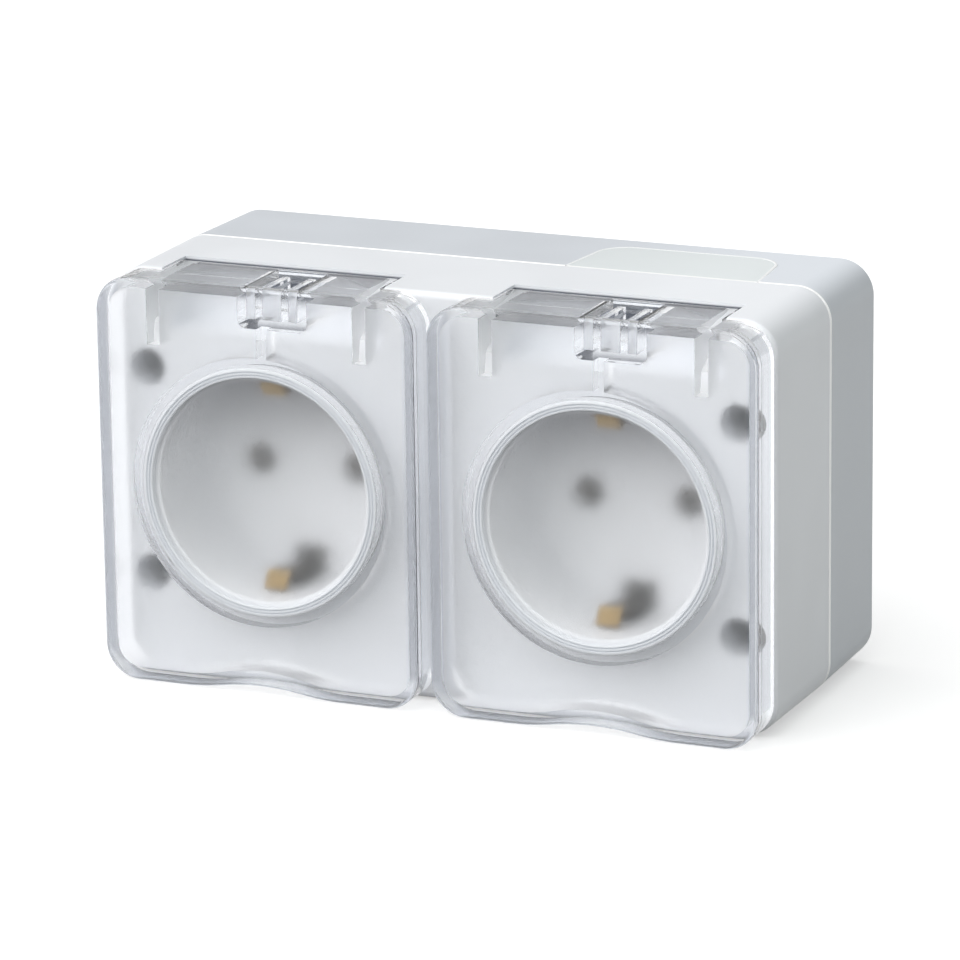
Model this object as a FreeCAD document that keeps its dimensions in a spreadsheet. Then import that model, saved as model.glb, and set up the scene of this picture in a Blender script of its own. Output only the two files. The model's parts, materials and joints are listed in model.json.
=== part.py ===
import FreeCAD, Part
import math
import os
import Sketcher

os.makedirs("parts", exist_ok=True)
doc = FreeCAD.newDocument("weatherproof_socket")

# Frame: +Z up, X along the width, the wall plane is y = 0 and the front faces -Y.
# The origin is the centre of the face that lies on the wall.

# Driving dimensions in millimetres, angles in degrees
SIZES = [
    # Outer form
    ("body_width", 125.9, "width at the seam between box and cover"),
    ("body_height", 74.2, "height at the seam"),
    ("cover_side_draft", 0.2, "each side of the cover from seam to front"),
    ("cover_top_draft", 0.1, "top and bottom of the cover from seam to front"),
    ("box_side_draft", 0.2, "each side of the box from seam to wall"),
    ("box_top_draft", 0.3, "top and bottom of the box from seam to wall"),
    ("corner_radius", 6.2, "upright corners of box and cover"),
    ("box_depth", 23.0, "wall to seam"),
    ("cover_depth", 26.2, "seam to cover face"),
    ("cover_wall", 2.6, "side walls of the cover"),
    ("cover_front_wall", 2.6, "front wall of the cover"),
    ("cover_edge_round", 1.3, "round on the front edge of the cover"),
    ("seam_round", 0.45, "round on both sides of the seam"),
    ("box_wall", 3.4, "side walls of the box"),
    ("box_floor", 3.0, "back wall of the box"),
    # Cups
    ("socket_drop", 0.4, "cups below the middle of the body"),
    ("cup_radius", 20.1, "inside of a cup"),
    ("cup_depth", 20.0, "rim to pin floor"),
    ("cup_wall", 1.9, "wall round a cup"),
    ("cup_floor", 2.2, "pin floor"),
    ("cup_flange", 1.1, "flange of a cup behind the cover's front wall"),
    ("cup_flange_thickness", 1.6, "flange of a cup"),
    ("cup_seat_gap", 0.05, "cup to its hole in the cover"),
    ("collar_height", 4.75, "cup rim in front of the cover face"),
    ("collar_wall", 2.1, "wall of the collar"),
    ("collar_round", 0.9, "round on the rim"),
    ("pin_spacing", 19.0, "distance between the two pin holes"),
    ("pin_hole_radius", 2.9, "pin holes"),
    ("slot_width", 6.4, "openings for the earth springs"),
    ("slot_inner", 15.2, "inner edge of an earth opening from the cup axis"),
    ("slot_outer", 22.6, "outer edge of an earth opening from the cup axis"),
    ("slot_below_rim", 11.0, "end of an earth opening below the rim"),
    # Cover screws
    ("screw_from_side", 6.8, "cover screws from the side of the cover front"),
    ("screw_spacing_up", 38.0, "cover screws up"),
    ("well_radius", 3.4, "wells for the screw heads"),
    ("well_depth", 8.0, "cover face to the seat of a head"),
    ("well_wall", 1.6, "wall round a screw well"),
    ("shank_radius", 1.7, "cover screws"),
    ("shank_hole_radius", 1.9, "holes for the cover screws"),
    ("head_radius", 2.95, "heads of the cover screws"),
    ("head_height", 2.2, "heads of the cover screws"),
    ("screw_tip_gap", 8.0, "tip of a cover screw to the back wall"),
    ("drive_radius", 1.1, "drive recess of every screw"),
    ("drive_depth", 1.2, "drive recess of every screw"),
    ("pillar_radius", 4.2, "box pillars for the cover screws"),
    ("thread_gap", 0.05, "screw thread to its hole"),
    # Lids
    ("lid_side_margin", 0.5, "lid to the side of the cover front"),
    ("lid_middle_gap", 2.5, "between the two lids"),
    ("lid_below_top", 0.05, "lid top below the cover top"),
    ("lid_below_bottom", 0.05, "lid below the bottom of the cover front"),
    ("lid_corner", 6.4, "corners of a lid"),
    ("lid_depth", 7.95, "front plate and skirt together"),
    ("lid_gap", 0.3, "skirt to cover face when shut"),
    ("plate_thickness", 2.0, "front plate of a lid"),
    ("skirt_wall", 2.0, "skirt of a lid"),
    ("lid_edge_round", 0.7, "round on the front edge of a lid"),
    ("recess_half_width", 15.5, "finger recess in the lower edge"),
    ("recess_rise", 1.3, "finger recess in the lower edge"),
    ("recess_inner_extra", 0.6, "finger recess rises this much more inside"),
    ("ring_inner_radius", 22.75, "ring round the collar"),
    ("ring_wall", 1.75, "ring round the collar"),
    ("ring_gap", 2.5, "ring to cover face"),
    ("tab_width", 42.2, "hinge tab"),
    ("tab_thickness", 1.8, "top sheet of the hinge tab"),
    ("barrel_radius", 2.6, "round at the hinge axis"),
    ("tab_reach", 10.0, "skirt to the back of the tab"),
    ("ear_thickness", 2.5, "side plates of the tab"),
    ("ear_foot_drop", 1.4, "foot of a side plate below the recess floor"),
    ("ear_depth", 4.2, "foot of a side plate behind the front plate"),
    ("ear_slant_up", 3.5, "slanted foot of a side plate"),
    ("ear_slant_back", 1.0, "slanted foot of a side plate"),
    ("trunnion_radius", 1.5, "pivots of a lid"),
    ("trunnion_length", 2.2, "pivot beyond the side gap"),
    ("pivot_gap", 0.08, "pivot to its hole"),
    ("pivot_end_gap", 0.3, "pivot end to the end of its hole"),
    ("pocket_offset", 3.35, "middle of the hinge pocket beside the cup axis"),
    ("pocket_width", 13.3, "hinge pocket"),
    ("pocket_foot_gap", 3.2, "hinge pocket above the recess floor"),
    ("pocket_wall", 1.8, "hinge pocket"),
    ("pocket_corner", 1.5, "corners of the hinge pocket"),
    ("pocket_back", 0.6, "hinge pocket in front of the axis"),
    ("rib_spacing", 5.0, "two short ribs in the pocket"),
    ("rib_thickness", 1.4, "two short ribs in the pocket"),
    ("rib_back", 2.4, "short ribs in front of the axis"),
    ("stem_offset", 1.15, "upright rib beside the cup axis"),
    ("stem_width", 1.9, "upright rib over the ring"),
    # Recess in the cover for a hinge tab
    ("notch_side_gap", 0.4, "tab to recess at the sides"),
    ("notch_back_gap", 0.6, "tab to recess at the back"),
    ("notch_over_cup", 1.3, "wall under a recess to the cup's flange"),
    ("notch_wall", 2.2, "walls of the recess inside the cover"),
    # Seals
    ("seal_inner_radius", 20.9, "ring seal of a lid"),
    ("seal_side_gap", 0.15, "ring seal inside its ring"),
    ("seal_rim_gap", 0.3, "ring seal to the rim"),
    ("seal_glue", 0.03, "glue between ring seal and front plate"),
    ("groove_edge", 1.1, "box seal groove from the outside"),
    ("groove_width", 1.3, "box seal groove"),
    ("groove_depth", 1.6, "box seal groove"),
    # Cable entry in the top of the box
    ("entry_offset", -0.4, "middle of the entry insert beside the right cup's axis"),
    ("entry_width", 36.2, "entry insert at the seam"),
    ("entry_back_width", 32.4, "entry insert at its back"),
    ("entry_from_wall", 5.8, "back of the insert to the wall"),
    ("entry_corner", 5.0, "back corners of the insert"),
    ("entry_gap", 0.15, "insert to box wall"),
    ("flange_width", 1.6, "flange inside the wall"),
    ("flange_thickness", 1.6, "flange inside the wall"),
    # Wall fixing and rear entry
    ("fixing_from_side", 20.75, "wall screw holes from the side of the back"),
    ("fixing_from_top", 9.8, "wall screw holes from the top and bottom of the back"),
    ("fixing_radius", 2.4, "wall screw holes"),
    ("knockout_radius", 10.0, "thinned disc for a cable from behind"),
    ("knockout_skin", 1.2, "skin left in a thinned disc"),
    # Contact carrier
    ("chamber_wall", 1.7, "wall beside the outer chambers"),
    ("carrier_height", 30.0, "carrier up"),
    ("carrier_front_gap", 0.3, "cup floor to carrier"),
    ("carrier_depth", 15.6, "carrier from front to back"),
    ("carrier_corner", 4.0, "corners of the carrier"),
    ("chamber_size", 9.6, "space for one pin contact"),
    ("chamber_floor", 2.0, "wall behind a chamber"),
    ("foot_radius", 3.2, "box pillars for the carrier"),
    ("foot_across", 11.0, "carrier screws beside the middle"),
    ("carrier_screw_radius", 1.4, "carrier screws"),
    ("carrier_screw_length", 18.0, "carrier screws under the head"),
    ("carrier_head_radius", 2.6, "heads of the carrier screws"),
    ("carrier_head_height", 1.8, "heads of the carrier screws"),
    ("carrier_head_sink", 0.4, "heads of the carrier screws below the front"),
    ("carrier_screw_gap", 0.1, "carrier screws in their holes"),
    # Contacts and bars
    ("strip", 0.8, "thickness of the brass strip"),
    ("leaf_width", 6.0, "pin contact leaves"),
    ("leaf_gap", 4.4, "pin contact at its narrowest"),
    ("leaf_mouth", 6.4, "pin contact at its mouth"),
    ("leaf_base", 6.0, "pin contact at its base"),
    ("mouth_inset", 1.5, "pin contact mouth behind the carrier's front"),
    ("mouth_depth", 2.5, "pin contact mouth to its narrowest"),
    ("bar_width", 5.0, "live and neutral bars"),
    ("live_bar_up", 6.2, "live bar above the cups' axis"),
    ("neutral_bar_down", 7.5, "neutral bar below the cups' axis"),
    ("tail_gap", 0.05, "contact tail in its slot"),
    ("earth_bar_up", 12.6, "earth bar above the cups' axis"),
    ("earth_bar_width", 3.4, "earth bar"),
    ("spring_width", 4.2, "earth springs"),
    ("spring_root", 18.4, "earth spring from the cup axis at its root"),
    ("spring_nose", 16.0, "earth spring from the cup axis at its nose"),
    ("spring_tip", 18.6, "earth spring from the cup axis at its tip"),
    ("nose_below_rim", 6.0, "earth spring nose below the rim"),
    ("tip_below_rim", 4.3, "earth spring tip below the rim"),
    ("bend_in_front", 1.0, "earth spring bend in front of the pin floor"),
    ("tip_slant", 0.4, "slanted end of an earth spring"),
    ("nose_extra", 0.2, "earth spring is thicker at its nose"),
    # Terminals
    ("terminal_size", 7.0, "terminal blocks"),
    ("terminal_depth", 9.0, "terminal blocks"),
    ("terminal_pitch", 8.6, "distance between the terminal blocks"),
    ("live_terminal_up", 3.0, "live terminal above the cups' axis"),
    ("wire_radius", 1.6, "wire holes"),
    ("wire_wall", 1.2, "terminal block behind its wire hole"),
    ("clamp_radius", 1.5, "terminal screws"),
    ("clamp_length", 5.0, "terminal screws under the head"),
    ("clamp_head_radius", 2.2, "heads of the terminal screws"),
    ("clamp_head_height", 1.6, "heads of the terminal screws"),
    ("clamp_head_gap", 0.8, "head above its block"),
    # Tools
    ("overshoot", 1.0, "a cut runs this far past an open face"),
]

sheet = doc.addObject("Spreadsheet::Sheet", "sizes")
for row, (alias, value, note) in enumerate(SIZES, 1):
    sheet.set(f"A{row}", alias)
    sheet.set(f"B{row}", str(value))
    sheet.setAlias(f"B{row}", alias)
    sheet.set(f"C{row}", note)
doc.recompute()


class Size:
    """A number together with the sheet expression that gives it."""

    def __init__(self, value, text):
        self.value = value
        self.text = text

    @staticmethod
    def of(other):
        return other if isinstance(other, Size) else Size(float(other), repr(float(other)))

    def join(self, sign, other, value):
        return Size(value, f"({self.text} {sign} {other.text})")

    def __add__(self, other):
        other = Size.of(other)
        return self.join("+", other, self.value + other.value)

    def __sub__(self, other):
        other = Size.of(other)
        return self.join("-", other, self.value - other.value)

    def __mul__(self, other):
        other = Size.of(other)
        return self.join("*", other, self.value * other.value)

    def __truediv__(self, other):
        other = Size.of(other)
        return self.join("/", other, self.value / other.value)

    def __radd__(self, other):
        return Size.of(other) + self

    def __rsub__(self, other):
        return Size.of(other) - self

    def __rmul__(self, other):
        return Size.of(other) * self

    def __neg__(self):
        return Size(-self.value, f"(0 - {self.text})")


class Sizes:
    """Reads a driving dimension from the sheet by its alias."""

    def __getattr__(self, alias):
        return Size(float(sheet.get(alias)), f"sizes.{alias}")


S = Sizes()


# Two lengths closer than this are the same, in millimetres
NEAR = 0.001
# A cut has to take away more than this, in cubic millimetres
LEAST_CUT = 0.01

# Places that several pieces share
front_width = S.body_width - 2 * S.cover_side_draft
front_height = S.body_height - 2 * S.cover_top_draft
back_width = S.body_width - 2 * S.box_side_draft
back_height = S.body_height - 2 * S.box_top_draft
lid_width = (front_width - 2 * S.lid_side_margin - S.lid_middle_gap) / 2
lid_height = front_height - S.lid_below_top + S.lid_below_bottom
half_pitch = (lid_width + S.lid_middle_gap) / 2
seam_y = -S.box_depth
face_y = seam_y - S.cover_depth
rim_y = face_y - S.collar_height
pin_floor_y = rim_y + S.cup_depth
cup_back_y = pin_floor_y + S.cup_floor
skirt_y = face_y - S.lid_gap
lid_front_y = skirt_y - S.lid_depth
plate_back_y = lid_front_y + S.plate_thickness
lid_top = front_height / 2 - S.lid_below_top
tab_back_y = skirt_y + S.tab_reach
axis_y = tab_back_y - S.barrel_radius
axis_z = lid_top - S.barrel_radius
cup_z = -S.socket_drop
collar_radius = S.cup_radius + S.collar_wall
notch_half = S.tab_width / 2 + S.notch_side_gap
notch_back_y = tab_back_y + S.notch_back_gap
flange_radius = S.cup_radius + S.cup_wall + S.cup_flange
notch_floor_z = cup_z + flange_radius + S.notch_over_cup + S.notch_wall
pocket_low = notch_floor_z + S.pocket_foot_gap
carrier_front_y = cup_back_y + S.carrier_front_gap
carrier_back_y = carrier_front_y + S.carrier_depth


def bind(target, name, size):
    """Set a property and keep it bound to the sheet."""
    size = Size.of(size)
    target.setExpression(name, size.text)


def new_body(label, x=None):
    body = doc.addObject("PartDesign::Body", label)
    body.Label = label
    if x is not None:
        bind(body, "Placement.Base.x", x)
    return body


def new_sketch(body, role, offset=None):
    """A sketch on one of the body's origin planes, moved along the plane's normal by offset.

    On XZ_Plane the sketch runs X across and Z up and its normal is -Y.
    On YZ_Plane it runs Y across and Z up and its normal is +X.
    On XY_Plane it runs X across and Y up and its normal is +Z.
    """
    sketch = body.newObject("Sketcher::SketchObject", body.Label + "_sketch")
    plane = [f for f in body.Origin.OriginFeatures if f.Role == role][0]
    sketch.AttachmentSupport = [(plane, "")]
    sketch.MapMode = "FlatFace"
    if offset is not None:
        bind(sketch, "AttachmentOffset.Base.z", offset)
    return sketch


def front_sketch(body, y):
    return new_sketch(body, "XZ_Plane", -Size.of(y))


def pin_point(sketch, geometry, position, x, z):
    """Hold one point of a sketch at x, z from the sketch's origin."""
    for kind, size in (("DistanceX", Size.of(x)), ("DistanceY", Size.of(z))):
        number = sketch.addConstraint(Sketcher.Constraint(kind, -1, 1, geometry, position, size.value))
        sketch.setExpression(f"Constraints[{number}]", size.text)


def set_radius(sketch, geometry, radius):
    radius = Size.of(radius)
    number = sketch.addConstraint(Sketcher.Constraint("Radius", geometry, radius.value))
    sketch.setExpression(f"Constraints[{number}]", radius.text)


def vector(x, z):
    return FreeCAD.Vector(Size.of(x).value, Size.of(z).value, 0)


def add_circle(sketch, x, z, radius):
    circle = Part.Circle(vector(x, z), FreeCAD.Vector(0, 0, 1), Size.of(radius).value)
    number = sketch.addGeometry(circle)
    pin_point(sketch, number, 3, x, z)
    set_radius(sketch, number, radius)


def add_outline(sketch, points):
    """A closed outline of straight lines, each corner held by the sheet."""
    count = len(points)
    numbers = []
    for start, end in zip(points, points[1:] + points[:1]):
        numbers.append(sketch.addGeometry(Part.LineSegment(vector(*start), vector(*end))))
    for i in range(count):
        following = numbers[(i + 1) % count]
        sketch.addConstraint(Sketcher.Constraint("Coincident", numbers[i], 2, following, 1))
    for number, point in zip(numbers, points):
        pin_point(sketch, number, 1, *point)


def add_rectangle(sketch, low_x, low_z, high_x, high_z):
    corners = [(low_x, low_z), (high_x, low_z), (high_x, high_z), (low_x, high_z)]
    add_outline(sketch, corners)


def add_arc(sketch, x, z, radius, start, end):
    circle = Part.Circle(vector(x, z), FreeCAD.Vector(0, 0, 1), Size.of(radius).value)
    return sketch.addGeometry(Part.ArcOfCircle(circle, math.radians(start), math.radians(end)))


def join_smoothly(sketch, *joints):
    for first, first_end, second, second_end in joints:
        sketch.addConstraint(Sketcher.Constraint("Tangent", first, first_end, second, second_end))


def hold(sketch, kind, geometry, position, size):
    """One signed distance of a point from the sketch's origin."""
    size = Size.of(size)
    number = sketch.addConstraint(Sketcher.Constraint(kind, -1, 1, geometry, position, size.value))
    sketch.setExpression(f"Constraints[{number}]", size.text)


def add_rounded(sketch, low_x, low_z, high_x, high_z, radius, arch=None):
    """A rectangle with round corners, and an arch in its lower edge where arch is given.

    The arch is (half width, rise): three equal arcs that leave the lower edge smoothly.
    """
    low_x, low_z, high_x, high_z = [Size.of(v) for v in (low_x, low_z, high_x, high_z)]
    radius = Size.of(radius)

    def line(x0, z0, x1, z1):
        return sketch.addGeometry(Part.LineSegment(vector(x0, z0), vector(x1, z1)))

    middle = (low_x + high_x) / 2
    right = line(high_x, low_z + radius, high_x, high_z - radius)
    upper_right = add_arc(sketch, high_x - radius, high_z - radius, radius, 0, 90)
    top = line(high_x - radius, high_z, low_x + radius, high_z)
    upper_left = add_arc(sketch, low_x + radius, high_z - radius, radius, 90, 180)
    left = line(low_x, high_z - radius, low_x, low_z + radius)
    lower_left = add_arc(sketch, low_x + radius, low_z + radius, radius, 180, 270)
    lower_right = add_arc(sketch, high_x - radius, low_z + radius, radius, 270, 360)
    if arch is None:
        first = last = line(low_x + radius, low_z, high_x - radius, low_z)
    else:
        half, rise = arch
        bend = (half * half + rise * rise) / (4 * rise)
        turn = math.degrees(math.asin(half.value / 2 / bend.value))
        first = line(low_x + radius, low_z, middle - half, low_z)
        leaving = add_arc(sketch, middle - half, low_z + bend, bend, 270, 270 + turn)
        crest = add_arc(sketch, middle, low_z + rise - bend, bend, 90 - turn, 90 + turn)
        landing = add_arc(sketch, middle + half, low_z + bend, bend, 270 - turn, 270)
        last = line(middle + half, low_z, high_x - radius, low_z)
        join_smoothly(sketch, (first, 2, leaving, 1), (leaving, 2, crest, 2))
        join_smoothly(sketch, (crest, 1, landing, 1), (landing, 2, last, 1))
        sketch.addConstraint(Sketcher.Constraint("Horizontal", last))
        sketch.addConstraint(Sketcher.Constraint("Equal", leaving, crest))
        sketch.addConstraint(Sketcher.Constraint("Equal", leaving, landing))
        set_radius(sketch, crest, bend)
        hold(sketch, "DistanceX", first, 2, middle - half)
        hold(sketch, "DistanceX", last, 1, middle + half)
        hold(sketch, "DistanceY", last, 1, low_z)
    join_smoothly(sketch, (last, 2, lower_right, 1), (lower_right, 2, right, 1))
    join_smoothly(sketch, (right, 2, upper_right, 1), (upper_right, 2, top, 1))
    join_smoothly(sketch, (top, 2, upper_left, 1), (upper_left, 2, left, 1))
    join_smoothly(sketch, (left, 2, lower_left, 1), (lower_left, 2, first, 1))
    for straight in (first, top):
        sketch.addConstraint(Sketcher.Constraint("Horizontal", straight))
    for upright in (right, left):
        sketch.addConstraint(Sketcher.Constraint("Vertical", upright))
    for corner in (upper_left, lower_left, lower_right):
        sketch.addConstraint(Sketcher.Constraint("Equal", upper_right, corner))
    set_radius(sketch, upper_right, radius)
    hold(sketch, "DistanceX", left, 1, low_x)
    hold(sketch, "DistanceX", right, 1, high_x)
    hold(sketch, "DistanceY", first, 1, low_z)
    hold(sketch, "DistanceY", top, 1, high_z)


def feature(body, kind, sketch, length, reverse=False, both_ways=False):
    item = body.newObject("PartDesign::" + kind, f"{body.Label}_{kind.lower()}")
    item.Profile = sketch
    bind(item, "Length", length)
    item.Reversed = reverse
    item.Midplane = both_ways
    sketch.Visibility = False
    return item


def pad(body, sketch, length, reverse=False, both_ways=False):
    return feature(body, "Pad", sketch, length, reverse, both_ways)


def volume(body):
    doc.recompute()
    return body.Shape.Volume


def pocket(body, sketch, length, reverse=False, both_ways=False):
    """Cut the sketch out of the body, and make sure that it cut something."""
    before = volume(body)
    item = feature(body, "Pocket", sketch, length, reverse, both_ways)
    if volume(body) > before - LEAST_CUT:
        raise ValueError(f"{body.Label}: {item.Name} cuts nothing")
    return item


def round_edges(body, radius, wanted):
    """Fillet the edges that wanted(edge) picks."""
    doc.recompute()
    base = body.Tip
    names = [f"Edge{i}" for i, edge in enumerate(base.Shape.Edges, 1) if wanted(edge)]
    item = body.newObject("PartDesign::Fillet", body.Label + "_fillet")
    item.Base = (base, names)
    bind(item, "Radius", radius)
    return item


def lies_in_plane(edge, y):
    box = edge.BoundBox
    return abs(box.YMin - y) < NEAR and abs(box.YMax - y) < NEAR


def loft(body, y_first, first, y_second, second):
    """A tapered block between two centred rectangles, given as width and height."""
    sketches = []
    for y, (width, height) in ((y_first, first), (y_second, second)):
        sketch = front_sketch(body, y)
        add_rectangle(sketch, -width / 2, -height / 2, width / 2, height / 2)
        sketches.append(sketch)
    item = body.newObject("PartDesign::AdditiveLoft", body.Label + "_loft")
    item.Profile = sketches[0]
    item.Sections = sketches[1:]
    item.Ruled = True
    return item


def runs_front_to_back(edge):
    box = edge.BoundBox
    return box.YLength > max(box.XLength, box.ZLength)


def corners_of(x, z):
    return [(sx * x, sz * z) for sx in (-1, 1) for sz in (-1, 1)]


screw_places = corners_of(front_width / 2 - S.screw_from_side, S.screw_spacing_up / 2)
fixing_places = corners_of(back_width / 2 - S.fixing_from_side, back_height / 2 - S.fixing_from_top)
foot_places = [(-S.foot_across, cup_z), (S.foot_across, cup_z)]
cup_places = [-half_pitch, half_pitch]
live_z = cup_z + S.live_bar_up
neutral_z = cup_z - S.neutral_bar_down
entry_top = S.body_height / 2
entry_back_y = -S.entry_from_wall


def entry_outline(sketch, grow):
    """The insert seen from above, narrower at the back."""
    x = half_pitch + S.entry_offset
    front = S.entry_width / 2 + grow
    back = S.entry_back_width / 2 + grow
    end = entry_back_y + grow
    add_outline(sketch, [(x - front, seam_y), (x + front, seam_y), (x + back, end), (x - back, end)])


def round_entry_corners(body, grow):
    """Round the two back corners that entry_outline leaves sharp."""
    end = (entry_back_y + grow).value

    def back_corner(edge):
        return lies_in_plane(edge, end) and edge.BoundBox.ZLength > edge.BoundBox.XLength

    round_edges(body, S.entry_corner + grow, back_corner)


def add_groove_rings(sketch, slack):
    """Two rounded outlines with the seal groove between them."""
    for inset in (S.groove_edge + slack, S.groove_edge + S.groove_width - slack):
        half_x = S.body_width / 2 - inset
        half_z = S.body_height / 2 - inset
        add_rounded(sketch, -half_x, -half_z, half_x, half_z, S.corner_radius - inset)


def make_rear_box():
    body = new_body("rear_box")
    loft(body, 0, (back_width, back_height), seam_y, (S.body_width, S.body_height))
    round_edges(body, S.corner_radius, runs_front_to_back)
    doc.recompute()
    front = seam_y.value
    round_edges(body, S.seam_round, lambda edge: lies_in_plane(edge, front))

    half_x = back_width / 2 - S.box_wall
    half_z = back_height / 2 - S.box_wall
    sketch = front_sketch(body, seam_y)
    add_rounded(sketch, -half_x, -half_z, half_x, half_z, S.corner_radius - S.box_wall)
    pocket(body, sketch, S.box_depth - S.box_floor)

    # Pillars stand on the back wall and reach the seam or the carrier
    sketch = front_sketch(body, -S.box_floor)
    for x, z in screw_places:
        add_circle(sketch, x, z, S.pillar_radius)
    pad(body, sketch, S.box_depth - S.box_floor)
    sketch = front_sketch(body, -S.box_floor)
    for x, z in foot_places:
        add_circle(sketch, x, z, S.foot_radius)
    pad(body, sketch, -carrier_back_y - S.box_floor)

    sketch = front_sketch(body, seam_y)
    for x, z in screw_places:
        add_circle(sketch, x, z, S.shank_radius + S.thread_gap)
    pocket(body, sketch, S.box_depth - S.box_floor)
    sketch = front_sketch(body, carrier_back_y)
    for x, z in foot_places:
        add_circle(sketch, x, z, S.carrier_screw_radius + S.thread_gap)
    pocket(body, sketch, -carrier_back_y - S.box_floor)

    sketch = front_sketch(body, -S.box_floor)
    for x, z in fixing_places:
        add_circle(sketch, x, z, S.fixing_radius)
    pocket(body, sketch, S.box_floor)
    sketch = front_sketch(body, -S.box_floor)
    for x in cup_places:
        add_circle(sketch, x, cup_z, S.knockout_radius)
    pocket(body, sketch, S.box_floor - S.knockout_skin)

    # The cable entry is a notch in the top wall, open towards the seam
    sketch = new_sketch(body, "XY_Plane", entry_top)
    entry_outline(sketch, S.entry_gap)
    pocket(body, sketch, S.box_wall + S.overshoot)
    round_entry_corners(body, S.entry_gap)

    sketch = front_sketch(body, seam_y)
    add_groove_rings(sketch, 0)
    pocket(body, sketch, S.groove_depth)
    return body


def make_entry_insert():
    body = new_body("cable_entry_insert")
    sketch = new_sketch(body, "XY_Plane", entry_top)
    entry_outline(sketch, 0)
    inner_top = back_height / 2 - S.box_wall
    pad(body, sketch, entry_top - inner_top + S.flange_thickness, reverse=True)
    round_entry_corners(body, 0)
    sketch = new_sketch(body, "XY_Plane", inner_top - S.entry_gap)
    entry_outline(sketch, S.flange_width)
    pad(body, sketch, S.flange_thickness, reverse=True)
    round_entry_corners(body, S.flange_width)
    top = entry_top.value

    def upper_edge(edge):
        box = edge.BoundBox
        level = abs(box.ZMin - top) < NEAR and abs(box.ZMax - top) < NEAR
        return level and not lies_in_plane(edge, seam_y.value)

    round_edges(body, S.seam_round, upper_edge)
    sketch = front_sketch(body, seam_y)
    add_groove_rings(sketch, 0)
    pocket(body, sketch, S.groove_depth)
    return body


def make_box_seal():
    body = new_body("box_seal")
    sketch = front_sketch(body, seam_y + S.groove_depth)
    add_groove_rings(sketch, S.thread_gap)
    pad(body, sketch, S.groove_depth)
    return body


def make_front_cover():
    body = new_body("front_cover")
    loft(body, seam_y, (S.body_width, S.body_height), face_y, (front_width, front_height))
    round_edges(body, S.corner_radius, runs_front_to_back)
    doc.recompute()
    front = face_y.value
    round_edges(body, S.cover_edge_round, lambda edge: lies_in_plane(edge, front))
    doc.recompute()
    back = seam_y.value
    round_edges(body, S.seam_round, lambda edge: lies_in_plane(edge, back))

    half_x = front_width / 2 - S.cover_wall
    half_z = front_height / 2 - S.cover_wall
    sketch = front_sketch(body, seam_y)
    add_rounded(sketch, -half_x, -half_z, half_x, half_z, S.corner_radius - S.cover_wall)
    pocket(body, sketch, S.cover_depth - S.cover_front_wall, reverse=True)

    # Walls of the screw wells and of the hinge recesses
    sketch = front_sketch(body, seam_y)
    for x, z in screw_places:
        add_circle(sketch, x, z, S.well_radius + S.well_wall)
    pad(body, sketch, S.cover_depth - S.cover_front_wall / 2)
    sketch = front_sketch(body, notch_back_y + S.notch_wall)
    for x in cup_places:
        wide = notch_half + S.notch_wall
        top = front_height / 2 - S.cover_wall / 2
        add_rectangle(sketch, x - wide, notch_floor_z - S.notch_wall, x + wide, top)
    pad(body, sketch, notch_back_y + S.notch_wall - face_y - S.cover_front_wall / 2)

    # Round holes for the collars of the two cups
    sketch = front_sketch(body, face_y)
    for x in cup_places:
        add_circle(sketch, x, cup_z, collar_radius + S.cup_seat_gap)
    pocket(body, sketch, S.cover_front_wall)

    # Screw wells
    sketch = front_sketch(body, face_y)
    for x, z in screw_places:
        add_circle(sketch, x, z, S.well_radius)
    pocket(body, sketch, S.well_depth)
    sketch = front_sketch(body, face_y + S.well_depth)
    for x, z in screw_places:
        add_circle(sketch, x, z, S.shank_hole_radius)
    pocket(body, sketch, S.cover_depth - S.well_depth)

    # Hinge recesses, open to the front and the top, and the pivot holes in their sides
    sketch = front_sketch(body, face_y)
    for x in cup_places:
        add_rectangle(sketch, x - notch_half, notch_floor_z, x + notch_half, S.body_height / 2 + S.overshoot)
    pocket(body, sketch, notch_back_y - face_y)
    for x in cup_places:
        sketch = new_sketch(body, "YZ_Plane", x)
        add_circle(sketch, axis_y, axis_z, S.trunnion_radius + S.pivot_gap)
        reach = notch_half + S.trunnion_length + S.pivot_end_gap
        pocket(body, sketch, 2 * reach, both_ways=True)
    return body


def make_cup(label, x):
    """A cup with its collar through the cover and a flange that seats behind the cover's front wall."""
    body = new_body(label, x)
    wall_back_y = face_y + S.cover_front_wall
    sketch = front_sketch(body, cup_back_y)
    add_circle(sketch, 0, cup_z, S.cup_radius + S.cup_wall)
    pad(body, sketch, cup_back_y - wall_back_y)
    sketch = front_sketch(body, wall_back_y + S.cup_flange_thickness)
    add_circle(sketch, 0, cup_z, flange_radius)
    pad(body, sketch, S.cup_flange_thickness)
    sketch = front_sketch(body, wall_back_y)
    add_circle(sketch, 0, cup_z, collar_radius)
    pad(body, sketch, S.cover_front_wall + S.collar_height)
    doc.recompute()
    rim = rim_y.value
    round_edges(body, S.collar_round, lambda edge: lies_in_plane(edge, rim))

    sketch = front_sketch(body, rim_y)
    add_circle(sketch, 0, cup_z, S.cup_radius)
    pocket(body, sketch, S.cup_depth)
    sketch = front_sketch(body, pin_floor_y)
    for side in (-1, 1):
        add_circle(sketch, side * S.pin_spacing / 2, cup_z, S.pin_hole_radius)
    pocket(body, sketch, S.cup_floor)
    sketch = front_sketch(body, rim_y + S.slot_below_rim)
    for side in (-1, 1):
        inner = cup_z + side * S.slot_inner
        outer = cup_z + side * S.slot_outer
        add_rectangle(sketch, -S.slot_width / 2, inner, S.slot_width / 2, outer)
    pocket(body, sketch, cup_back_y - rim_y - S.slot_below_rim)
    return body


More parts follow.
